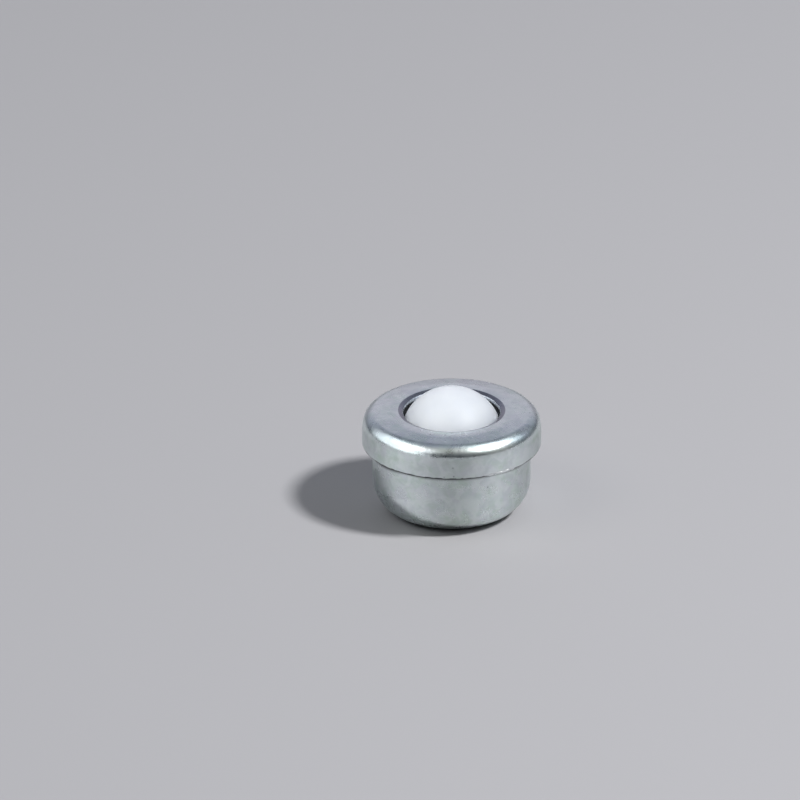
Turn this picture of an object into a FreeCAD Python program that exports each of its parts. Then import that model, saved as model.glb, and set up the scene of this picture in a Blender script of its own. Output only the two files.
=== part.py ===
import FreeCAD, Part
import math
import os

import Sketcher

# Ball castor: a drop-in ball transfer unit, about 14 mm across and 10 mm high.
# A drawn cup holds a pressed race. One layer of small steel beads rolls on the race and carries the
# plastic main ball. A pressed cap closes the cup and keeps the main ball in with the edge of its hole.
# Millimetres, +Z up. The origin is the middle of the cup's base, on the surface that it stands on.

# Driving dimensions
SIZES = {
    # balls
    "ball_diameter": 8.0,
    "bead_diameter": 1.2,
    "roll_gap": 0.02,          # play between a bead and what it rolls on, at each side
    "bead_gap": 0.02,          # least room between neighbours in one ring of beads
    "ring_gap": 0.05,          # room between one ring of beads and the next
    # race
    "race_sheet": 0.36,
    "race_flare": 0.16,        # how far the rim is opened out, to sit in the cup's wall
    "flare_rise": 0.6,         # height over which it opens out
    "race_fit": 0.02,          # play between the rim and the cup, and between the rim and the cap
    # cup
    "cup_sheet": 0.4,
    "cup_bend": 2.2,           # inner radius of the corner between wall and base
    "mouth_taper": 0.05,       # how far the wall leans in under the skirt, to let the cap start easily
    # cap
    "cap_sheet": 0.8,
    "cap_fit": 0.02,           # play between the skirt and the cup
    "cap_bend": 0.2,           # inner radius of the corner between top and skirt
    "cap_height": 2.75,
    "crown_rise": 0.1,         # how much thicker the top is round the hole than the sheet
    "crown_width": 0.7,        # level part of the top, from the slope round the hole out
    "crown_fall": 0.23,        # how far the rest of the top slopes down, were it to reach the skirt
    "crown_ease": 4.0,         # radius of the gentle bend between the two
    "ball_rise": 1.7,          # how far the main ball stands out of the cap
    "lip_clearance": 0.04,     # from the main ball to the nearest edge of the hole
    "lip_width": 0.41,         # of the shallow slope round the hole, from its upper edge in
    "lip_drop": 0.13,          # how far it slopes down
    "lip_round": 0.12,         # rounding where the slope turns down into the hole
    "skirt_edge_round": 0.12,
}

# Sizes that follow from the driving ones: outwards from the main ball, and upwards from the base
DERIVED = {
    "ball_radius": "Sizes.ball_diameter / 2",
    "bead_radius": "Sizes.bead_diameter / 2",
    "bead_path_radius": "ball_radius + Sizes.roll_gap + bead_radius",
    "ring_pitch": "2 * asin((bead_radius + Sizes.ring_gap / 2) / bead_path_radius)",
    "bowl_radius": "bead_path_radius + bead_radius + Sizes.roll_gap",
    "bowl_outer_radius": "bowl_radius + Sizes.race_sheet",
    "rim_radius": "bowl_outer_radius + Sizes.race_flare",
    "rim_bore_radius": "rim_radius - Sizes.race_sheet",
    "cup_bore_radius": "rim_radius + Sizes.race_fit",
    "cup_radius": "cup_bore_radius + Sizes.cup_sheet",
    "mouth_radius": "cup_radius - Sizes.mouth_taper",
    "cup_outer_bend": "Sizes.cup_bend + Sizes.cup_sheet",
    "skirt_bore_radius": "cup_radius + Sizes.cap_fit",
    "cap_radius": "skirt_bore_radius + Sizes.cap_sheet",
    "cap_outer_bend": "Sizes.cap_bend + Sizes.cap_sheet",
    "ball_centre": "Sizes.cup_sheet + bowl_outer_radius",
    "bowl_bottom": "ball_centre - bowl_radius",
    "flare_top": "ball_centre + Sizes.flare_rise",
    "cap_top": "ball_centre + ball_radius - Sizes.ball_rise",
    "cap_underside": "cap_top - Sizes.crown_rise - Sizes.cap_sheet",
    "cap_shoulder": "cap_top - Sizes.crown_fall",
    "skirt_edge": "cap_top - Sizes.cap_height",
    "cup_rim": "cap_underside - Sizes.cap_bend",
    "race_rim": "cap_underside - Sizes.race_fit",
    "hole_radius": "sqrt((ball_radius + Sizes.lip_clearance) ^ 2 - (cap_underside - ball_centre) ^ 2)",
    "lip_radius": "hole_radius + Sizes.lip_width",
    "lip_bottom": "cap_top - Sizes.lip_drop",
    "crown_radius": "lip_radius + Sizes.crown_width",
}

# Rings of beads around the single one at the bottom of the bowl
BEAD_RINGS = 3

doc = FreeCAD.newDocument("ball_castor")


# The two sheets of sizes
def add_sheet(name, rows, sign=""):
    """One row for each size: its name, and its value under that name as alias."""
    sheet = doc.addObject("Spreadsheet::Sheet", name)
    for row, (alias, value) in enumerate(rows.items(), start=1):
        sheet.set(f"A{row}", alias)
        sheet.set(f"B{row}", f"{sign}{value}")
        sheet.setAlias(f"B{row}", alias)
    return sheet


driving = add_sheet("Sizes", SIZES)
derived = add_sheet("Derived", DERIVED, sign="=")
doc.recompute()


def formula(name):
    """The expression that reads a size from its sheet. Zero needs no sheet."""
    if name == "0":
        return name
    return f"{driving.Name}.{name}" if name in SIZES else f"{derived.Name}.{name}"


def size(name):
    """A size as a number: millimetres, or degrees for an angle."""
    value = derived.evalExpression(formula(name))
    return float(getattr(value, "Value", value))


# Turned profiles: sketches on a body's own XZ plane, where across is the radius and up is the height
START, END, MIDDLE = range(1, 4)
BASE_LINE, TURNING_AXIS = range(-1, -3, -1)
ORIGIN = (BASE_LINE, START)


class Profile:
    """A closed outline of straight runs, rounded corners and arcs about a point on the axis.

    A corner is (radius, height, rounding, arc_centre), by the names of the sizes. The rounding is of that
    corner, and the arc centre is the height about which the run to the next corner bends. Either may
    be None. Each run is (edge, first end, second end), so that its neighbours can be joined to it.
    """

    def __init__(self, body, corners):
        self.sketch = body.newObject("Sketcher::SketchObject", f"{body.Label}_profile")
        plane = next(f for f in body.Origin.OriginFeatures if f.Role == "XZ_Plane")
        self.sketch.AttachmentSupport = [(plane, "")]
        self.sketch.MapMode = "FlatFace"
        self.corners = corners
        self.points = [FreeCAD.Vector(size(r), size(z), 0) for r, z, _, _ in corners]
        self.trims = [self.trim(i) for i in range(len(corners))]
        self.runs = [self.add_run(i) for i in range(len(corners))]
        for i in range(len(corners)):
            self.join_corner(i)
        for i in range(len(corners)):
            self.place_run(i)

    def trim(self, i):
        """How far a corner's rounding reaches along its two runs."""
        rounding = self.corners[i][2]
        if not rounding:
            return 0.0
        turn = self.direction(i - 1).getAngle(self.direction(i))
        return size(rounding) * math.tan(turn / 2)

    def following(self, i):
        return (i + 1) % len(self.corners)

    def direction(self, i):
        return (self.points[self.following(i)] - self.points[i]).normalize()

    def kind(self, i):
        """What the run that starts at this corner is: an arc, upright, level or slanting."""
        radius, height, _, arc_centre = self.corners[i]
        next_radius, next_height, _, _ = self.corners[self.following(i)]
        if arc_centre:
            return "arc"
        if radius == next_radius:
            return "upright"
        return "level" if height == next_height else "slanting"

    def add_arc(self, centre, start, end, clockwise):
        """An arc from start to end, which the sketch always stores anticlockwise."""
        if clockwise:
            start, end = end, start
        angles = [math.atan2(p.y - centre.y, p.x - centre.x) for p in (start, end)]
        circle = Part.Circle(centre, FreeCAD.Vector(0, 0, 1), (start - centre).Length)
        edge = self.sketch.addGeometry(Part.ArcOfCircle(circle, *angles))
        return (edge, END, START) if clockwise else (edge, START, END)

    def add_run(self, i):
        start, end = self.points[i], self.points[self.following(i)]
        centre_height = self.corners[i][3]
        if centre_height:
            centre = FreeCAD.Vector(0, size(centre_height), 0)
            return self.add_arc(centre, start, end, clockwise=start.x > end.x)
        along = self.direction(i)
        start = start + along * self.trims[i]
        end = end - along * self.trims[self.following(i)]
        return (self.sketch.addGeometry(Part.LineSegment(start, end)), START, END)

    def constrain(self, kind, *where):
        return self.sketch.addConstraint(Sketcher.Constraint(kind, *where))

    def dimension(self, name, kind, *where):
        """A dimension of the sketch that a sheet drives."""
        index = self.constrain(kind, *where, size(name))
        self.sketch.setExpression(f"Constraints[{index}]", formula(name))

    def join_corner(self, i):
        """Join the run that ends at this corner to the one that starts there."""
        before, _, before_end = self.runs[i - 1]
        after, after_start, _ = self.runs[i]
        rounding = self.corners[i][2]
        if not rounding:
            self.constrain("Coincident", before, before_end, after, after_start)
            return
        into, out = self.direction(i - 1), self.direction(i)
        start = self.points[i] - into * self.trims[i]
        end = self.points[i] + out * self.trims[i]
        to_centre = (out - into * into.dot(out)).normalize()
        arc, first, last = self.add_arc(start + to_centre * size(rounding), start, end,
                                        clockwise=into.cross(out).z < 0)
        self.constrain("Tangent", before, before_end, arc, first)
        self.constrain("Tangent", arc, last, after, after_start)
        self.dimension(rounding, "Radius", arc)

    def place_run(self, i):
        """Level and upright runs need one distance each. The ends of the others follow from what they join."""
        edge, first, last = self.runs[i]
        radius, height, _, arc_centre = self.corners[i]
        following = self.following(i)
        kind = self.kind(i)
        if kind == "arc":
            wide_end, wide_radius = (first, radius) if radius != "0" else (last, self.corners[following][0])
            self.constrain("PointOnObject", edge, MIDDLE, TURNING_AXIS)
            self.constrain("Horizontal", edge, MIDDLE, edge, wide_end)
            self.dimension(arc_centre, "DistanceY", *ORIGIN, edge, MIDDLE)
            self.dimension(wide_radius, "Radius", edge)
        elif kind == "upright":
            self.constrain("Vertical", edge)
            self.place_radius(radius, edge, first)
        elif kind == "level":
            self.constrain("Horizontal", edge)
            self.place_height(height, edge, first)
        else:
            self.place_slanting_end(i, self.kind(i - 1), edge, first)
            self.place_slanting_end(following, self.kind(following), edge, last)

    def sharp_corner(self, i):
        """A construction point where the two runs at a rounded corner would meet."""
        point = self.sketch.addGeometry(Part.Point(self.points[i]), True)
        for edge, _, _ in (self.runs[i - 1], self.runs[i]):
            self.constrain("PointOnObject", point, START, edge)
        return point

    def place_slanting_end(self, i, neighbour, edge, end):
        """Give this end what its neighbour leaves free: an upright run its height, a level one its radius."""
        radius, height, rounding, _ = self.corners[i]
        if rounding:
            edge, end = self.sharp_corner(i), START
        if neighbour == "upright":
            self.place_height(height, edge, end)
        elif neighbour == "level":
            self.place_radius(radius, edge, end)

    def place_radius(self, radius, edge, end):
        self.place(radius, "DistanceX", TURNING_AXIS, edge, end)

    def place_height(self, height, edge, end):
        self.place(height, "DistanceY", BASE_LINE, edge, end)

    def place(self, name, kind, zero_line, edge, end):
        if name == "0":
            self.constrain("PointOnObject", edge, end, zero_line)
        else:
            self.dimension(name, kind, *ORIGIN, edge, end)


def turned_piece(label, corners):
    """A body whose outline is turned once round the upright axis."""
    body = doc.addObject("PartDesign::Body", label)
    body.Label = label
    profile = Profile(body, corners)
    doc.recompute()
    turned = body.newObject("PartDesign::Revolution", f"{label}_turned")
    turned.Profile = profile.sketch
    turned.ReferenceAxis = (profile.sketch, ["V_Axis"])
    turned.Angle = 360.0
    doc.recompute()
    return body


# Cup: drawn from one sheet, with a flat base and a wide corner, and a mouth that leans in for the cap
def make_cup():
    return turned_piece("cup", [
        ("0", "0", None, None),
        ("cup_radius", "0", "cup_outer_bend", None),
        ("cup_radius", "skirt_edge", None, None),
        ("mouth_radius", "cup_rim", None, None),
        ("cup_bore_radius", "cup_rim", None, None),
        ("cup_bore_radius", "cup_sheet", "cup_bend", None),
        ("0", "cup_sheet", None, None),
    ])


# Race: a pressed bowl that stands on the cup's floor, its rim opened out to the cup's wall
def make_race():
    return turned_piece("race", [
        ("0", "cup_sheet", None, "ball_centre"),
        ("bowl_outer_radius", "ball_centre", None, None),
        ("rim_radius", "flare_top", None, None),
        ("rim_radius", "race_rim", None, None),
        ("rim_bore_radius", "race_rim", None, None),
        ("rim_bore_radius", "flare_top", None, None),
        ("bowl_radius", "ball_centre", None, "ball_centre"),
        ("0", "bowl_bottom", None, None),
    ])


# Cap: a slightly crowned ring with a turned-down skirt over the cup. Its top dips in a shallow slope round
# the hole, whose lower edge keeps the main ball in.
def make_cap():
    return turned_piece("cap", [
        ("hole_radius", "cap_underside", None, None),
        ("skirt_bore_radius", "cap_underside", "cap_bend", None),
        ("skirt_bore_radius", "skirt_edge", None, None),
        ("cap_radius", "skirt_edge", "skirt_edge_round", None),
        ("cap_radius", "cap_shoulder", "cap_outer_bend", None),
        ("crown_radius", "cap_top", "crown_ease", None),
        ("lip_radius", "cap_top", None, None),
        ("hole_radius", "lip_bottom", "lip_round", None),
    ])


# Balls
def make_ball(label, radius):
    ball = doc.addObject("Part::Sphere", label)
    ball.Label = label
    ball.setExpression("Radius", formula(radius))
    return ball


def make_main_ball():
    ball = make_ball("main_ball", "ball_radius")
    ball.setExpression(".Placement.Base.z", formula("ball_centre"))
    return ball


def beads_in_ring(ring):
    """As many as go round the ring with the least room between neighbours."""
    if ring == 0:
        return 1
    ring_radius = size("bead_path_radius") * math.sin(math.radians(ring * size("ring_pitch")))
    half_step = math.asin((size("bead_radius") + size("bead_gap") / 2) / ring_radius)
    return math.floor(math.pi / half_step)


def make_beads():
    """The layer of beads between race and main ball, ring by ring from the bottom of the bowl."""
    beads = []
    for ring in range(BEAD_RINGS + 1):
        tilt = f"{ring} * {formula('ring_pitch')}"
        count = beads_in_ring(ring)
        for place in range(count):
            turn = f"{360 * (place + ring / 2) / count} deg"
            out = f"{formula('bead_path_radius')} * sin({tilt})"
            bead = make_ball(f"bearing_ball_{len(beads) + 1:02d}", "bead_radius")
            bead.setExpression(".Placement.Base.x", f"{out} * cos({turn})")
            bead.setExpression(".Placement.Base.y", f"{out} * sin({turn})")
            bead.setExpression(".Placement.Base.z",
                               f"{formula('ball_centre')} - {formula('bead_path_radius')} * cos({tilt})")
            beads.append(bead)
    return beads


pieces = [make_cup(), make_race(), make_cap(), make_main_ball(), *make_beads()]
doc.recompute()

# Every object is sound before anything is written
for item in doc.Objects:
    if "Invalid" in item.State or "Error" in item.State:
        raise RuntimeError(f"{item.Label} failed: {item.State}")
for item in doc.findObjects("Sketcher::SketchObject"):
    if not item.FullyConstrained:
        raise RuntimeError(f"{item.Label} has sizes that nothing drives")
for piece in pieces:
    if piece.Shape.isNull() or not piece.Shape.isValid() or len(piece.Shape.Solids) != 1:
        raise RuntimeError(f"{piece.Label} is not one sound solid")

os.makedirs("parts", exist_ok=True)
for piece in pieces:
    piece.Shape.exportStep(f"parts/{piece.Label}.step")
    box = piece.Shape.optimalBoundingBox()
    print(f"{piece.Label}: {piece.Shape.Volume:.3f} mm3, {box.XLength:.2f} mm wide, {box.ZLength:.2f} mm high")
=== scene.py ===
import math

import bmesh
import bpy
from mathutils import Matrix, Vector, noise


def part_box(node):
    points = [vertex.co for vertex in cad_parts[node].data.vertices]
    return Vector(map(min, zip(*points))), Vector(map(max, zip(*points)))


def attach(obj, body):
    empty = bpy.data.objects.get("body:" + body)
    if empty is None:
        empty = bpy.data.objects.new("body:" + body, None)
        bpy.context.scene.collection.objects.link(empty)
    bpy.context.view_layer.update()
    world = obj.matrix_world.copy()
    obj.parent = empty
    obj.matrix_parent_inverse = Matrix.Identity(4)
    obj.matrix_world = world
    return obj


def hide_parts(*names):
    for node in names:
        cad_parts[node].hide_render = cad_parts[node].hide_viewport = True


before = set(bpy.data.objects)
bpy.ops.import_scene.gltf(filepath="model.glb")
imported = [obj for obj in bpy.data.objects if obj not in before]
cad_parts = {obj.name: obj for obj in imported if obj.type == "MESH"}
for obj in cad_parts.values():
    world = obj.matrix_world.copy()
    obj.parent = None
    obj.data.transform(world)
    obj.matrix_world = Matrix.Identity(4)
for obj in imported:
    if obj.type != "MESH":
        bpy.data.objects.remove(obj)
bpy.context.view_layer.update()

# Miniature ball castor: a zinc-plated cup and cap, and a white plastic ball that runs on small steel balls.
# The frame's pieces give the outer sizes. What a maker would add to them is written below in millimetres.

MM = 0.001

CAP_LOW, CAP_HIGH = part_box("cap")
_, CUP_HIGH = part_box("cup")
BALL_LOW, BALL_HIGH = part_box("main_ball")

CAP_RADIUS = CAP_HIGH.x
CAP_TOP = CAP_HIGH.z
SKIRT_EDGE = CAP_LOW.z
CUP_RADIUS = CUP_HIGH.x
CUP_RIM = CUP_HIGH.z
BALL_RADIUS = (BALL_HIGH.z - BALL_LOW.z) / 2
BALL_CENTRE = (BALL_LOW + BALL_HIGH) / 2

# The cap's top and the hole in it
CAP_SHEET = 0.8 * MM
CAP_BEND = 0.2 * MM           # inner radius between the top and the skirt
CROWN_RISE = 0.10 * MM        # how much thicker than the sheet the top is round the hole
CROWN_WIDTH = 0.70 * MM       # level part of the top, from the slope round the hole out
CROWN_EASE = 0.22 * MM        # how far the outer slope is eased in
LIP_WIDTH = 0.41 * MM         # of the shallow slope round the hole
LIP_DROP = 0.13 * MM
LIP_CREST = 0.03 * MM         # eased edge at the top of that slope
LIP_EASE = 0.10 * MM          # and where it turns down into the hole
LIP_CLEARANCE = 0.04 * MM     # from the main ball to the hole
UNDERSIDE = CAP_TOP - CROWN_RISE - CAP_SHEET
HOLE_RADIUS = math.sqrt((BALL_RADIUS + LIP_CLEARANCE) ** 2 - (UNDERSIDE - BALL_CENTRE.z) ** 2)

# The cap's shoulder and skirt
SHOULDER_IN = 0.235 * MM      # where the top's outer slope and the leaning wall would meet
SHOULDER_DROP = 0.205 * MM
RIM_BEND = 0.73 * MM          # how far the rounding there reaches along both
LEAN_START = 1.31 * MM        # below the top, where the skirt starts to lean in
LEAN_EASE = 0.39 * MM
SKIRT_ROUND = 0.14 * MM
SKIRT_RIDGE = 0.24 * MM       # how far up the skirt its sheared edge leaves a mark
RIDGE_ROUND = 0.04 * MM
FINE_EDGE = 0.03 * MM         # break of a sheared edge

# The skirt's lower edge: its waves, and the stretch where it is rolled out
EDGE_DEPTH = SKIRT_ROUND * 1.01   # how far in from the cap's side the edge is uneven
EDGE_WAVE = 0.045 * MM
EDGE_WAVE_LENGTH = 2.0 * MM
BURR_ANGLE = math.radians(35)     # from the front towards the right
BURR_SPREAD = math.radians(9)
BURR_HEIGHT = 0.10 * MM
BURR_LENGTH = 0.28 * MM       # from one of its tips to the next
BURR_LEVEL = 0.55             # its mean height, of 1, to which tips and dips are added
BURR_GLINT = 3.0              # how soon it shows as bare metal, painted bright as a glint
BURR_LAYER = "rolled_edge"

# The cup
CUP_SHEET = 0.4 * MM
CUP_BEND = 2.2 * MM           # inner radius between the wall and the base
MOUTH_TAPER = 0.05 * MM       # the wall leans in under the cap's skirt

BEAD_GAP = 0.02 * MM          # least room between small balls in one ring

# How finely the pieces are made
TURN_STEPS = 400              # facets round a turned piece
SHARP_ANGLE = math.radians(30)
BALL_SUBDIVISIONS = 6
BEAD_SUBDIVISIONS = 3
ON_AXIS = 1e-9                # nearer to the axis than this is on it
WELD = 1e-7                   # points nearer together than this become one


# Turned pieces
def rounded_section(bm, corners):
    """The half section of a turned piece: corners are (radius, height, rounding, segments)."""
    verts = [bm.verts.new((radius, 0, height)) for radius, height, _, _ in corners]
    bm.faces.new(verts)
    for vert, (_, _, rounding, segments) in zip(verts, corners):
        if rounding:
            bmesh.ops.bevel(bm, geom=[vert], affect="VERTICES", offset=rounding, segments=segments,
                            profile=0.5, material=-1)


def turned(corners):
    """Turn the section once round the upright axis. It may start and end on the axis."""
    bm = bmesh.new()
    rounded_section(bm, corners)
    bmesh.ops.delete(bm, geom=bm.faces[:], context="FACES_ONLY")
    on_axis = [edge for edge in bm.edges if all(abs(vert.co.x) < ON_AXIS for vert in edge.verts)]
    bmesh.ops.delete(bm, geom=on_axis, context="EDGES")
    bmesh.ops.spin(bm, geom=bm.verts[:] + bm.edges[:], cent=(0, 0, 0), axis=(0, 0, 1),
                   angle=math.tau, steps=TURN_STEPS, use_merge=True)
    bmesh.ops.remove_doubles(bm, verts=bm.verts[:], dist=WELD)
    bmesh.ops.recalc_face_normals(bm, faces=bm.faces[:])
    return bm


def finished_piece(name, bm):
    """The mesh as an object, smooth but for its sharp edges."""
    for face in bm.faces:
        face.smooth = True
    for edge in bm.edges:
        edge.smooth = edge.calc_face_angle(0) < SHARP_ANGLE
    mesh = bpy.data.meshes.new(name)
    bm.to_mesh(mesh)
    bm.free()
    piece = bpy.data.objects.new(name, mesh)
    bpy.context.scene.collection.objects.link(piece)
    return piece


def shear_edge(bm):
    """The press leaves the skirt's edge a little wavy, and rolls it outwards over one short stretch."""
    bright = bm.verts.layers.float.new(BURR_LAYER)
    for vert in bm.verts:
        radius = math.hypot(vert.co.x, vert.co.y)
        depth = 1 - (vert.co.z - SKIRT_EDGE) / SKIRT_RIDGE
        if depth <= 0 or radius < CAP_RADIUS - EDGE_DEPTH:
            continue
        flat = Vector((vert.co.x, vert.co.y, 0))
        angle = math.atan2(vert.co.x, -vert.co.y)
        wave = noise.noise(flat / EDGE_WAVE_LENGTH)
        burr = math.exp(-((angle - BURR_ANGLE) / BURR_SPREAD) ** 2)
        burr *= max(BURR_LEVEL + noise.noise(flat / BURR_LENGTH), 0)
        # The layer marks where the burr's bare metal is painted bright, partly as a glint
        vert[bright] = min(burr * BURR_GLINT, 1)
        outward = depth * (1 - depth) * 4 * BURR_HEIGHT * burr
        vert.co.x *= 1 + outward / radius
        vert.co.y *= 1 + outward / radius
        vert.co.z += depth * wave * EDGE_WAVE


def pressed_cap():
    bore = CAP_RADIUS - CAP_SHEET
    lip_radius = HOLE_RADIUS + LIP_WIDTH
    bm = turned([
        (HOLE_RADIUS, UNDERSIDE, FINE_EDGE, 2),
        (bore, UNDERSIDE, CAP_BEND, 4),
        (bore, SKIRT_EDGE, FINE_EDGE, 2),
        (CAP_RADIUS, SKIRT_EDGE, SKIRT_ROUND, 6),
        (CAP_RADIUS, SKIRT_EDGE + SKIRT_RIDGE, RIDGE_ROUND, 2),
        (CAP_RADIUS, CAP_TOP - LEAN_START, LEAN_EASE, 8),
        (CAP_RADIUS - SHOULDER_IN, CAP_TOP - SHOULDER_DROP, RIM_BEND, 24),
        (lip_radius + CROWN_WIDTH, CAP_TOP, CROWN_EASE, 6),
        (lip_radius, CAP_TOP, LIP_CREST, 2),
        (HOLE_RADIUS, CAP_TOP - LIP_DROP, LIP_EASE, 5),
    ])
    shear_edge(bm)
    return finished_piece("cap_pressing", bm)


def drawn_cup():
    bore = CUP_RADIUS - CUP_SHEET
    bm = turned([
        (0, 0, 0, 0),
        (CUP_RADIUS, 0, CUP_BEND + CUP_SHEET, 28),
        (CUP_RADIUS, SKIRT_EDGE, 0, 0),
        (CUP_RADIUS - MOUTH_TAPER, CUP_RIM, FINE_EDGE, 2),
        (bore, CUP_RIM, FINE_EDGE, 2),
        (bore, CUP_SHEET, CUP_BEND, 16),
        (0, CUP_SHEET, 0, 0),
    ])
    return finished_piece("cup_drawing", bm)


def add_ball(bm, subdivisions, radius, centre):
    bmesh.ops.create_icosphere(bm, subdivisions=subdivisions, radius=radius,
                               matrix=Matrix.Translation(centre))


def plastic_ball():
    bm = bmesh.new()
    add_ball(bm, BALL_SUBDIVISIONS, BALL_RADIUS, BALL_CENTRE)
    return finished_piece("ball_moulding", bm)


def tilt_of(bead):
    """How far up the bowl a small ball lies, as an angle at the main ball's centre."""
    low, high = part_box(bead)
    middle = (low + high) / 2 - BALL_CENTRE
    return math.atan2(math.hypot(middle.x, middle.y), -middle.z)


def upper_bearing_balls():
    """The rings of small balls above the frame's own: the bowl is full up to the cap."""
    bead_low, bead_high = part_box("bearing_ball_01")
    radius = (bead_high.z - bead_low.z) / 2
    path = BALL_CENTRE.z - (bead_low.z + bead_high.z) / 2
    pitch = tilt_of("bearing_ball_02")
    last_in_frame = max(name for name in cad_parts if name.startswith("bearing_ball_"))
    ring = round(tilt_of(last_in_frame) / pitch) + 1
    bm = bmesh.new()
    while BALL_CENTRE.z - path * math.cos(ring * pitch) + radius < UNDERSIDE:
        out = path * math.sin(ring * pitch)
        height = BALL_CENTRE.z - path * math.cos(ring * pitch)
        count = int(math.pi / math.asin((radius + BEAD_GAP / 2) / out))
        for place in range(count):
            turn = math.tau * (place + ring / 2) / count
            centre = Vector((out * math.cos(turn), out * math.sin(turn), height))
            add_ball(bm, BEAD_SUBDIVISIONS, radius, centre)
        ring += 1
    return finished_piece("upper_bearing_balls", bm)


# Material tools. Every pattern is laid out in the piece's own millimetres.
class Wiring:
    """Adds shader nodes to a tree and joins them."""

    def __init__(self, tree):
        self.tree = tree

    def add(self, kind, sockets=None, **settings):
        made = self.tree.nodes.new("ShaderNode" + kind)
        for name, value in settings.items():
            setattr(made, name, value)
        for socket, value in (sockets or {}).items():
            self.feed(value, made.inputs[socket])
        return made

    def feed(self, value, socket):
        if isinstance(value, bpy.types.NodeSocket):
            self.tree.links.new(value, socket)
        else:
            socket.default_value = value

    def math(self, operation, *values):
        return self.add("Math", dict(enumerate(values)), operation=operation).outputs[0]

    def ramp(self, value, low, high, to_low=0.0, to_high=1.0):
        """Value eased from one range to another."""
        return self.add("MapRange", {"Value": value, "From Min": low, "From Max": high, "To Min": to_low,
                                     "To Max": to_high}, interpolation_type="SMOOTHSTEP").outputs["Result"]

    def mix(self, mask, first, second):
        """Second colour over the first, where the mask is 1."""
        # Sockets by number, because this node has the same names again for other kinds of value
        return self.add("Mix", {0: mask, 6: first, 7: second}, data_type="RGBA").outputs[2]


class Finish(Wiring):
    """A new material: its wiring, its shader, and where on the piece it is, in millimetres."""

    def __init__(self, name):
        self.material = bpy.data.materials.new(name)
        self.material.use_nodes = True
        super().__init__(self.material.node_tree)
        self.shader = self.tree.nodes["Principled BSDF"]
        own = self.add("TexCoord").outputs["Object"]
        self.where = self.add("Mapping", {"Vector": own, "Scale": (1 / MM,) * 3}).outputs[0]

    def pattern(self, group, **sockets):
        """What a shader group gives at each place on the piece."""
        return self.add("Group", {"Vector": self.where, **sockets}, node_tree=group).outputs[0]

    def shade(self, sockets):
        for socket, value in sockets.items():
            self.feed(value, self.shader.inputs[socket])

    def raise_skin(self, *heights):
        """Add up heights in millimetres and bend the shader's normal with them."""
        total = heights[0]
        for height in heights[1:]:
            total = self.math("ADD", total, height)
        self.shade({"Normal": self.add("Bump", {"Height": total, "Distance": MM}).outputs[0]})


def new_group(name, inputs, output):
    """A shader group. Inputs are names and starting values, and a Vector comes first."""
    group = bpy.data.node_groups.new(name, "ShaderNodeTree")
    group.interface.new_socket(name="Vector", in_out="INPUT", socket_type="NodeSocketVector")
    for socket_name, value in inputs.items():
        socket = group.interface.new_socket(name=socket_name, in_out="INPUT", socket_type="NodeSocketFloat")
        socket.default_value = value
    group.interface.new_socket(name=output, in_out="OUTPUT", socket_type="NodeSocketFloat")
    wiring = Wiring(group)
    given = group.nodes.new("NodeGroupInput").outputs
    return group, wiring, given, group.nodes.new("NodeGroupOutput").inputs[0]


CLOUD_FADE = (0.34, 0.66)     # values of the noise between which a patch comes in
SPECK_LEAST = 0.4             # smallest speck, as a share of the radius asked for
LINE_STRETCH = 0.04           # how little a drawing line changes along its length


def clouds_group():
    """Soft patches, such as a plated skin has: 0 to 1."""
    group, wiring, given, out = new_group("plating_clouds", {"Size": 1.0, "Shift": 0.0}, "Mask")
    shift = wiring.add("CombineXYZ", {"X": given["Shift"], "Z": given["Shift"]}).outputs[0]
    moved = wiring.add("VectorMath", {0: given["Vector"], 1: shift}, operation="ADD").outputs[0]
    scale = wiring.math("DIVIDE", 1.0, given["Size"])
    cloud = wiring.add("TexNoise", {"Vector": moved, "Scale": scale, "Detail": 3.0, "Roughness": 0.55,
                                    "Distortion": 0.6}).outputs[0]
    wiring.feed(wiring.ramp(cloud, *CLOUD_FADE), out)
    return group


def specks_group():
    """Small round pits or specks, scattered one by one: 1 in the middle of each."""
    group, wiring, given, out = new_group("specks", {"Spacing": 1.0, "Radius": 0.1, "Share": 0.3}, "Mask")
    scale = wiring.math("DIVIDE", 1.0, given["Spacing"])
    cells = wiring.add("TexVoronoi", {"Vector": given["Vector"], "Scale": scale, "Randomness": 1.0})
    chance = wiring.add("SeparateColor", {0: cells.outputs["Color"]}).outputs
    chosen = wiring.math("LESS_THAN", chance[0], given["Share"])
    away = wiring.math("MULTIPLY", cells.outputs["Distance"], given["Spacing"])
    reach = wiring.math("MULTIPLY", given["Radius"], wiring.math("ADD", chance[1], SPECK_LEAST))
    near = wiring.ramp(away, reach, 0.0)
    wiring.feed(wiring.math("MULTIPLY", chosen, near), out)
    return group


def satin_group():
    """The fine unevenness of a pressed or plated skin, as a height in millimetres."""
    group, wiring, given, out = new_group("satin_skin", {"Size": 0.3, "Depth": 0.002}, "Height")
    scale = wiring.math("DIVIDE", 1.0, given["Size"])
    grain = wiring.add("TexNoise", {"Vector": given["Vector"], "Scale": scale, "Detail": 2.0,
                                    "Roughness": 0.6}).outputs[0]
    wiring.feed(wiring.math("MULTIPLY", grain, given["Depth"]), out)
    return group


def lines_group():
    """Fine lines along the upright axis, where the sheet slid over the die, as a height in millimetres."""
    group, wiring, given, out = new_group("drawing_lines", {"Spacing": 0.2, "Depth": 0.001}, "Height")
    scale = wiring.math("DIVIDE", 1.0, given["Spacing"])
    drawn = wiring.add("Mapping", {"Vector": given["Vector"], "Scale": (1, 1, LINE_STRETCH)}).outputs[0]
    line = wiring.add("TexNoise", {"Vector": drawn, "Scale": scale, "Detail": 1.0}).outputs[0]
    wiring.feed(wiring.math("MULTIPLY", line, given["Depth"]), out)
    return group


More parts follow.
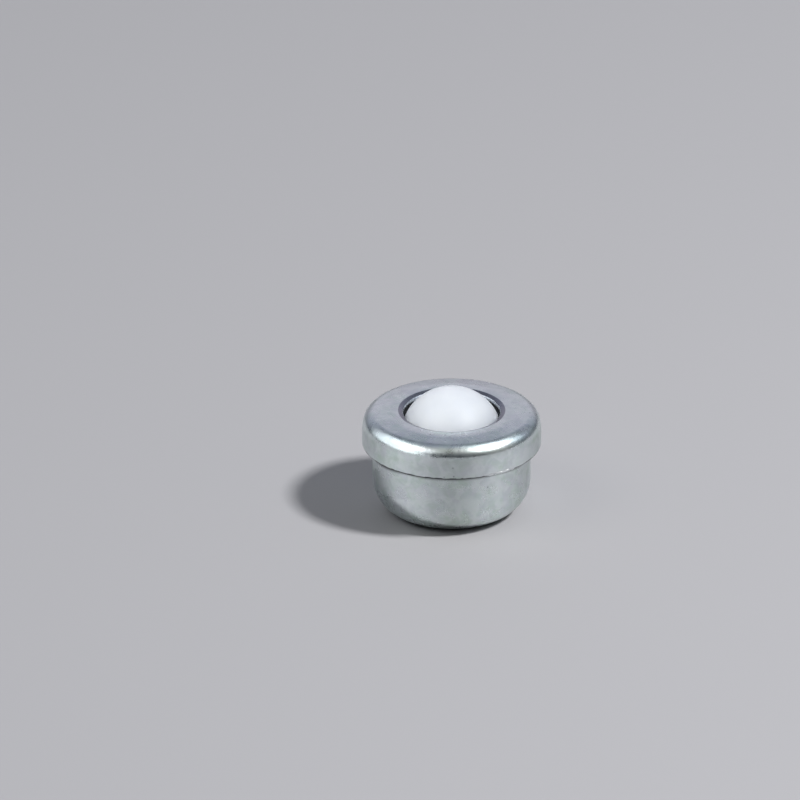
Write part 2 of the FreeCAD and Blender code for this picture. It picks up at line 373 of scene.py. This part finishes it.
def above_group():
    """1 above a height and 0 below it, with a soft edge."""
    group, wiring, given, out = new_group("above_height", {"Height": 1.0, "Softness": 0.1}, "Mask")
    z = wiring.add("SeparateXYZ", {0: given["Vector"]}).outputs["Z"]
    high = wiring.math("ADD", given["Height"], given["Softness"])
    wiring.feed(wiring.ramp(z, given["Height"], high), out)
    return group


def within_group():
    """1 within a radius of the upright axis and 0 outside it."""
    group, wiring, given, out = new_group("within_radius", {"Radius": 1.0, "Softness": 0.04}, "Mask")
    flat = wiring.add("VectorMath", {0: given["Vector"], 1: (1, 1, 0)}, operation="MULTIPLY").outputs[0]
    away = wiring.add("VectorMath", {0: flat}, operation="LENGTH").outputs["Value"]
    inner = wiring.math("SUBTRACT", given["Radius"], given["Softness"])
    wiring.feed(wiring.ramp(away, given["Radius"], inner), out)
    return group


def sheen_bands_group():
    """Painted sheen: how bright a wall is made round the axis, paler and darker stretches in turn standing
    in for the light it reflects.
    """
    group, wiring, given, out = new_group("painted_sheen_bands", {"Count": 4.0, "Share": 0.1}, "Brightness")
    parts = wiring.add("SeparateXYZ", {0: given["Vector"]}).outputs
    angle = wiring.math("ARCTAN2", parts["X"], wiring.math("MULTIPLY", parts["Y"], -1.0))
    wave = wiring.math("COSINE", wiring.math("MULTIPLY", angle, given["Count"]))
    wiring.feed(wiring.math("SUBTRACT", 1.0, wiring.math("MULTIPLY", wave, given["Share"])), out)
    return group


CLOUDS = clouds_group()
SPECKS = specks_group()
SATIN = satin_group()
LINES = lines_group()
ABOVE = above_group()
WITHIN = within_group()
SHEEN_BANDS = sheen_bands_group()

# Zinc plate, on cap and cup. From here on lengths are in millimetres.
BLUE_ZINC = (0.650, 0.735, 0.722, 1)
GREEN_ZINC = (0.580, 0.685, 0.620, 1)
LILAC_ZINC = (0.690, 0.712, 0.762, 1)
PALE_ZINC = (0.835, 0.888, 0.888, 1)
PIT_COLOUR = (0.16, 0.18, 0.20, 1)
# Near-black painted shade: deep in the hole, along the skirt's edge, under the skirt and round the foot
PAINTED_SHADE = (0.05, 0.052, 0.055, 1)
# Bare metal at the rolled burr, made brighter as a painted glint
BARE_METAL_GLINT = (0.90, 0.93, 0.95, 1)
LAND_METAL = (0.70, 0.74, 0.78, 1)
# Dark metal on the slope round the hole: a painted dark reflection
SLOPE_PAINTED_DARK = (0.30, 0.31, 0.36, 1)

# Shifts move the clouds, so that no two patterns of them lie alike
SHINE_SHIFT = 5.0
LILAC_SHIFT = 11.0
PALE_SHIFT = 23.0
EDGE_SHIFT = 31.0

PALE_SIZE = 0.9
LILAC_SHARE = 0.7             # how much of its colour shows in the middle of a patch
PALE_SHARE = 0.55
PITS = {"Spacing": 0.85, "Radius": 0.10, "Share": 0.30}
PIT_SHADE = 0.75
PIT_DEPTH = 0.006
SHEEN_BAND_SETTINGS = {"Count": 5, "Share": 0.18}    # painted sheen: paler stretches, and how much brighter they are
FINE_GRAIN = {"Size": 0.13, "Depth": 0.0012}
LINE_SPACING = 0.25

# Cap
WALL_FINISH_END = 1.35        # below the top, where the wall's finish starts to pass into the rim's
WALL_FINISH_FADE = 0.5
WALL_ROUGHNESS = 0.34
RIM_ROUGHNESS = 0.25
RIM_GREEN = 0.15
EDGE_SHADE_LEAST = 0.06          # height of the painted shade along the skirt's lower edge, where it is narrowest
EDGE_SHADE_MOST = 0.10
EDGE_SHADE_FADE = 0.08
UNEVEN_SIZE = 0.8             # from one wide place of that edge to the next
SLOPE_OVERLAP = 0.02          # how far below the slope its painted dark reflection goes
SLOPE_FADE = 0.03
LAND_HEIGHT = 0.22            # bright strip under the slope, where the punch sheared the hole clean
LAND_FADE = 0.08

# Cup
CUP_ROUGHNESS = 0.26
SEAM_SHADE_REACH = 0.58             # how far below the skirt the painted shade of the joint reaches
SEAM_SHADE_LEFT = 0.37        # and how much farther at each side
SEAM_SHADE_RIGHT = 0.25
SEAM_SHADE_FADE = 0.36
BASE_SHADE_HEIGHT = 0.18             # how high the painted shade stands over the base
BASE_SHADE_FADE = 0.16


def plated_colour(finish, green_size, lilac_size, green_share):
    """Zinc plate is never one colour: it drifts between blue, green and lilac greys, with paler patches."""
    green = finish.math("MULTIPLY", finish.pattern(CLOUDS, Size=green_size), green_share)
    lilac = finish.pattern(CLOUDS, Size=lilac_size, Shift=LILAC_SHIFT)
    pale = finish.pattern(CLOUDS, Size=PALE_SIZE, Shift=PALE_SHIFT)
    colour = finish.mix(green, BLUE_ZINC, GREEN_ZINC)
    colour = finish.mix(finish.math("MULTIPLY", lilac, LILAC_SHARE), colour, LILAC_ZINC)
    return finish.mix(finish.math("MULTIPLY", pale, PALE_SHARE), colour, PALE_ZINC)


# Painted sheen: the colour scaled paler and darker round the axis
def add_sheen(finish, colour):
    brightness = finish.pattern(SHEEN_BANDS, **SHEEN_BAND_SETTINGS)
    return finish.add("VectorMath", {0: colour, "Scale": brightness}, operation="SCALE").outputs[0]


def pitted(finish, colour):
    pits = finish.pattern(SPECKS, **PITS)
    return pits, finish.mix(finish.math("MULTIPLY", pits, PIT_SHADE), colour, PIT_COLOUR)


def drifting(finish, least, cloud_size, drift):
    """Roughness that goes up from the least in patches."""
    cloud = finish.pattern(CLOUDS, Size=cloud_size, Shift=SHINE_SHIFT)
    return finish.math("ADD", least, finish.math("MULTIPLY", cloud, drift))


def raise_zinc(finish, pits, grain_size, grain_depth, line_depth):
    finish.raise_skin(
        finish.pattern(SATIN, Size=grain_size, Depth=grain_depth),
        finish.pattern(SATIN, **FINE_GRAIN),
        finish.pattern(LINES, Spacing=LINE_SPACING, Depth=line_depth),
        finish.math("MULTIPLY", pits, -PIT_DEPTH),
    )


def hole_colour(finish):
    """The slope round the hole painted dark as a reflection, the bright land below it, and painted shade
    below that.
    """
    slope_end = (CAP_TOP - LIP_DROP) / MM - SLOPE_OVERLAP
    dark_slope = finish.pattern(ABOVE, Height=slope_end, Softness=SLOPE_FADE)
    land = finish.pattern(ABOVE, Height=slope_end - LAND_HEIGHT, Softness=LAND_FADE)
    # Deep in the hole, below the land, the wall is painted shade
    return finish.mix(dark_slope, finish.mix(land, PAINTED_SHADE, LAND_METAL), SLOPE_PAINTED_DARK)


def cap_zinc():
    finish = Finish("zinc_on_cap")
    rim = finish.pattern(ABOVE, Height=CAP_TOP / MM - WALL_FINISH_END, Softness=WALL_FINISH_FADE)
    colour = plated_colour(finish, green_size=2.0, lilac_size=1.7,
                           green_share=finish.ramp(rim, 0.0, 1.0, 1.0, RIM_GREEN))
    # Below the rim the wall carries painted sheen
    colour = finish.mix(rim, add_sheen(finish, colour), colour)
    pits, colour = pitted(finish, colour)
    in_hole = finish.pattern(WITHIN, Radius=(HOLE_RADIUS + LIP_WIDTH) / MM)
    colour = finish.mix(in_hole, colour, hole_colour(finish))
    # A band along the skirt's lower edge is painted shade, of uneven height
    uneven = finish.pattern(CLOUDS, Size=UNEVEN_SIZE, Shift=EDGE_SHIFT)
    edge = SKIRT_EDGE / MM
    edge_shade_top = finish.ramp(uneven, 0.0, 1.0, edge + EDGE_SHADE_LEAST, edge + EDGE_SHADE_MOST)
    above_edge_shade = finish.pattern(ABOVE, Height=edge_shade_top, Softness=EDGE_SHADE_FADE)
    # At the burr the metal is painted bright, partly as a glint
    burr = finish.add("Attribute", attribute_name=BURR_LAYER).outputs["Fac"]
    colour = finish.mix(burr, finish.mix(above_edge_shade, PAINTED_SHADE, colour), BARE_METAL_GLINT)
    satin = finish.ramp(rim, 0.0, 1.0, WALL_ROUGHNESS, RIM_ROUGHNESS)
    finish.shade({"Base Color": colour, "Metallic": 1.0, "Roughness": drifting(finish, satin, 1.1, 0.06)})
    raise_zinc(finish, pits, grain_size=0.45, grain_depth=0.012, line_depth=0.002)
    return finish.material


def cup_zinc():
    finish = Finish("zinc_on_cup")
    side = CUP_RADIUS / MM
    # The joint under the skirt gets painted shade, reaching farther down at the sides, most at the left
    across = finish.add("SeparateXYZ", {0: finish.where}).outputs["X"]
    left = finish.ramp(across, -side / 2, -side, 0.0, SEAM_SHADE_LEFT)
    right = finish.ramp(across, side / 2, side, 0.0, SEAM_SHADE_RIGHT)
    seam_shade_height = finish.math("SUBTRACT", SKIRT_EDGE / MM - SEAM_SHADE_REACH, finish.math("ADD", left, right))
    in_seam_shade = finish.pattern(ABOVE, Height=seam_shade_height, Softness=SEAM_SHADE_FADE)
    # The foot gets painted shade up to a small height
    above_base_shade = finish.pattern(ABOVE, Height=BASE_SHADE_HEIGHT, Softness=BASE_SHADE_FADE)
    colour = plated_colour(finish, green_size=1.7, lilac_size=1.3, green_share=1.0)
    # The cup's wall carries painted sheen
    pits, colour = pitted(finish, add_sheen(finish, colour))
    colour = finish.mix(above_base_shade, PAINTED_SHADE, finish.mix(in_seam_shade, colour, PAINTED_SHADE))
    finish.shade({"Base Color": colour, "Metallic": 1.0,
                  "Roughness": drifting(finish, CUP_ROUGHNESS, 1.4, 0.08)})
    raise_zinc(finish, pits, grain_size=0.7, grain_depth=0.014, line_depth=0.003)
    return finish.material


# White plastic, for the main ball
DEEP_WHITE = (0.848, 0.870, 0.985, 1)
WHITE = (0.866, 0.886, 0.990, 1)
SCUFF_COLOUR = (0.70, 0.71, 0.76, 1)
SCUFFS = {"Spacing": 0.9, "Radius": 0.12, "Share": 0.25}
SCUFF_SHADE = 0.10
SCUFF_DEPTH = 0.002
GLOW_DEPTH = 2.2              # how far light goes through the plastic


def white_plastic():
    finish = Finish("white_plastic")
    cloud = finish.pattern(CLOUDS, Size=1.5)
    scuffs = finish.pattern(SPECKS, **SCUFFS)
    colour = finish.mix(cloud, DEEP_WHITE, WHITE)
    finish.shade({
        "Base Color": finish.mix(finish.math("MULTIPLY", scuffs, SCUFF_SHADE), colour, SCUFF_COLOUR),
        "Roughness": finish.ramp(cloud, 0.0, 1.0, 0.45, 0.55),
        "Subsurface Weight": 1.0,
        "Subsurface Radius": (1.0, 1.0, 1.0),
        "Subsurface Scale": GLOW_DEPTH * MM,
    })
    finish.raise_skin(
        finish.pattern(SATIN, Size=0.5, Depth=0.004),
        finish.math("MULTIPLY", scuffs, -SCUFF_DEPTH),
    )
    return finish.material


# Bare steel, for the race and the small balls
def steel(name, cloud_size, dark, pale, bright_roughness, dull_roughness):
    finish = Finish(name)
    cloud = finish.pattern(CLOUDS, Size=cloud_size)
    finish.shade({
        "Base Color": finish.mix(cloud, dark, pale),
        "Metallic": 1.0,
        "Roughness": finish.ramp(cloud, 0.0, 1.0, bright_roughness, dull_roughness),
    })
    return finish


def race_steel():
    finish = steel("hardened_steel", cloud_size=1.2, dark=(0.47, 0.48, 0.51, 1), pale=(0.55, 0.55, 0.57, 1),
                   bright_roughness=0.22, dull_roughness=0.34)
    finish.raise_skin(
        finish.pattern(SATIN, Size=0.2, Depth=0.001),
        finish.pattern(LINES, Spacing=0.2, Depth=0.002),
    )
    return finish.material


def bead_steel():
    finish = steel("polished_steel", cloud_size=0.4, dark=(0.72, 0.73, 0.76, 1), pale=(0.79, 0.79, 0.80, 1),
                   bright_roughness=0.08, dull_roughness=0.16)
    finish.raise_skin(finish.pattern(SATIN, Size=0.15, Depth=0.0006))
    return finish.material


# The pieces in their places
def dress(piece, material, body, node=None):
    piece.data.materials.append(material)
    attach(piece, body)
    if node:
        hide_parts(node)


def repaint(node, material):
    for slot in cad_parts[node].material_slots:
        slot.material = material


bead_material = bead_steel()
dress(pressed_cap(), cap_zinc(), "housing", node="cap")
dress(drawn_cup(), cup_zinc(), "housing", node="cup")
ball = plastic_ball()
dress(ball, white_plastic(), "main_ball", node="main_ball")
dress(upper_bearing_balls(), bead_material, "ball_layer")
repaint("race", race_steel())
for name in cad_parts:
    if name.startswith("bearing_ball_"):
        repaint(name, bead_material)


# Camera, at the photograph's angle. Lengths are in metres again.
VIEW_ELEVATION = math.radians(24.8)
VIEW_DISTANCE = 0.8
FRAME_WIDTH = 62.65 * MM      # width of the picture at the castor
AXIS_RIGHT_OF_MIDDLE = 4.03 * MM
FOOT_BELOW_MIDDLE = 8.3 * MM
SENSOR_WIDTH = 36.0


def add_camera():
    forward = Vector((0, math.cos(VIEW_ELEVATION), -math.sin(VIEW_ELEVATION)))
    up = Vector((0, math.sin(VIEW_ELEVATION), math.cos(VIEW_ELEVATION)))
    aim = up * FOOT_BELOW_MIDDLE - Vector((AXIS_RIGHT_OF_MIDDLE, 0, 0))
    data = bpy.data.cameras.new("camera")
    data.sensor_width = SENSOR_WIDTH
    data.lens = SENSOR_WIDTH * VIEW_DISTANCE / FRAME_WIDTH
    camera = bpy.data.objects.new("camera", data)
    camera.location = aim - forward * VIEW_DISTANCE
    camera.rotation_euler = forward.to_track_quat("-Z", "Y").to_euler()
    bpy.context.scene.collection.objects.link(camera)
    bpy.context.scene.camera = camera


# Floor
FLOOR_COLOUR = (0.492, 0.487, 0.506, 1)
FLOOR_REACH = 3.0


def add_floor():
    bm = bmesh.new()
    bmesh.ops.create_grid(bm, x_segments=1, y_segments=1, size=FLOOR_REACH)
    mesh = bpy.data.meshes.new("floor")
    bm.to_mesh(mesh)
    bm.free()
    floor = bpy.data.objects.new("floor", mesh)
    finish = Finish("floor_paper")
    finish.shade({"Base Color": FLOOR_COLOUR, "Roughness": 0.9, "Specular IOR Level": 0.1})
    mesh.materials.append(finish.material)
    bpy.context.scene.collection.objects.link(floor)


# Lamps and panels. Azimuths are in degrees from the camera's side to the right, and elevations in degrees
# above level.
LAMP_DISTANCE = 0.6
KEY = {"azimuth": 69, "elevation": 52.2, "width": 0.09, "height": 0.09}
BALL_LIGHT = (0.93, 0.96, 1)
PLAIN_LIGHT = (1, 1, 1)
WARM_LIGHT = (1, 0.96, 0.88)
PANEL_LIGHT = (0.93, 0.975, 1)
COLD_LIGHT = (0.80, 0.88, 1)


def add_lamp(name, azimuth, elevation, width, height, colour, lean=0):
    """A soft lamp that faces the castor. Lean turns it about that line, in degrees."""
    a, e = math.radians(azimuth), math.radians(elevation)
    towards = Vector((math.sin(a) * math.cos(e), -math.cos(a) * math.cos(e), math.sin(e)))
    data = bpy.data.lights.new(name, "AREA")
    data.color = colour
    lamp = bpy.data.objects.new(name, data)
    turn = (-towards).to_track_quat("-Z", "Y").to_matrix() @ Matrix.Rotation(math.radians(lean), 3, "Z")
    lamp.location = towards * LAMP_DISTANCE
    lamp.rotation_euler = turn.to_euler()
    lamp.visible_camera = False
    data.size = width
    data.size_y = height
    bpy.context.scene.collection.objects.link(lamp)
    return lamp


def add_round_lamp(name, azimuth, elevation, width, height, share, colour=PLAIN_LIGHT):
    """Its share is how much of the light on the floor comes from it; 1 in all is plain level."""
    lamp = add_lamp(name, azimuth, elevation, width, height, colour)
    lamp.data.shape = "ELLIPSE"
    lamp.data.energy = share * math.pi ** 2 * LAMP_DISTANCE ** 2 / math.sin(math.radians(elevation))
    return lamp


def add_panel(name, azimuth, elevation, width, height, brightness, lean=0, colour=PANEL_LIGHT):
    """A panel that shows in the metal and lights nothing."""
    lamp = add_lamp(name, azimuth, elevation, width, height, colour, lean)
    lamp.data.shape = "RECTANGLE"
    lamp.data.energy = brightness * math.pi * width * height
    lamp.visible_diffuse = False


def light_only(lamp, piece, included=True):
    """Let a lamp light only this piece, or all but this piece."""
    receivers = bpy.data.collections.new(f"{lamp.name}_receivers")
    receivers.objects.link(piece)
    receivers.collection_objects[0].light_linking.link_state = "INCLUDE" if included else "EXCLUDE"
    lamp.light_linking.receiver_collection = receivers


def add_lights():
    key = add_round_lamp("key_lamp", share=0.69, **KEY)
    ball_key = add_round_lamp("ball_key_lamp", share=0.435, colour=BALL_LIGHT, **KEY)
    ball_fill = add_round_lamp("ball_fill_lamp", azimuth=-62, elevation=45, width=0.5, height=0.4,
                               share=0.29, colour=BALL_LIGHT)
    light_only(key, ball, included=False)
    light_only(ball_key, ball)
    light_only(ball_fill, ball)
    add_round_lamp("fill_lamp", azimuth=-70, elevation=50, width=0.40, height=0.30, share=0.07,
                   colour=WARM_LIGHT)
    add_panel("right_panel", azimuth=80, elevation=58, width=0.26, height=0.55, brightness=1.6, lean=-47)
    add_panel("right_back_panel", azimuth=103, elevation=41, width=0.22, height=0.28, brightness=0.75,
              colour=COLD_LIGHT)
    add_panel("left_panel", azimuth=-79, elevation=36, width=0.88, height=0.65, brightness=1.12)
    add_panel("left_low_panel", azimuth=-54, elevation=9, width=0.60, height=0.20, brightness=0.7)


# Light from the room by where it comes from: how far back, from -1 at the camera's side, and its colour
ROOM_LIGHT = [
    (-0.95, (0.005, 0.01, 0.02)),
    (-0.75, (0.105, 0.105, 0.11)),
    (-0.30, (0.335, 0.335, 0.31)),
    (0.10, (0.24, 0.27, 0.32)),
    (0.30, (0.215, 0.25, 0.31)),
    (0.62, (0.17, 0.18, 0.21)),
    (0.78, (0.29, 0.325, 0.41)),
    (0.90, (0.64, 0.615, 0.69)),
]
DIM_BELOW = 0.36              # the room is darker under this height, of 1 straight up
DIM_LEVEL = 0.30


def add_world():
    """Soft light all round: brighter behind the castor than in front, and dim near the floor."""
    world = bpy.data.worlds.new("studio")
    bpy.context.scene.world = world
    world.use_nodes = True
    wiring = Wiring(world.node_tree)
    background = world.node_tree.nodes["Background"]
    direction = wiring.add("SeparateXYZ", {0: wiring.add("TexCoord").outputs["Generated"]}).outputs
    back = wiring.add("MapRange", {"Value": direction["Y"], "From Min": -1.0}).outputs["Result"]
    room = wiring.add("ValToRGB", {"Fac": back})
    stops = room.color_ramp.elements      # a new ramp comes with two
    for i, (place, colour) in enumerate(ROOM_LIGHT):
        position = (place + 1) / 2
        stop = stops[i] if i < 2 else stops.new(position)
        stop.position = position
        stop.color = (*colour, 1)
    wiring.feed(room.outputs["Color"], background.inputs["Color"])
    wiring.feed(wiring.ramp(direction["Z"], 0.0, DIM_BELOW, DIM_LEVEL), background.inputs["Strength"])


add_camera()
add_floor()
add_lights()
add_world()
bpy.context.scene.view_settings.view_transform = "Standard"
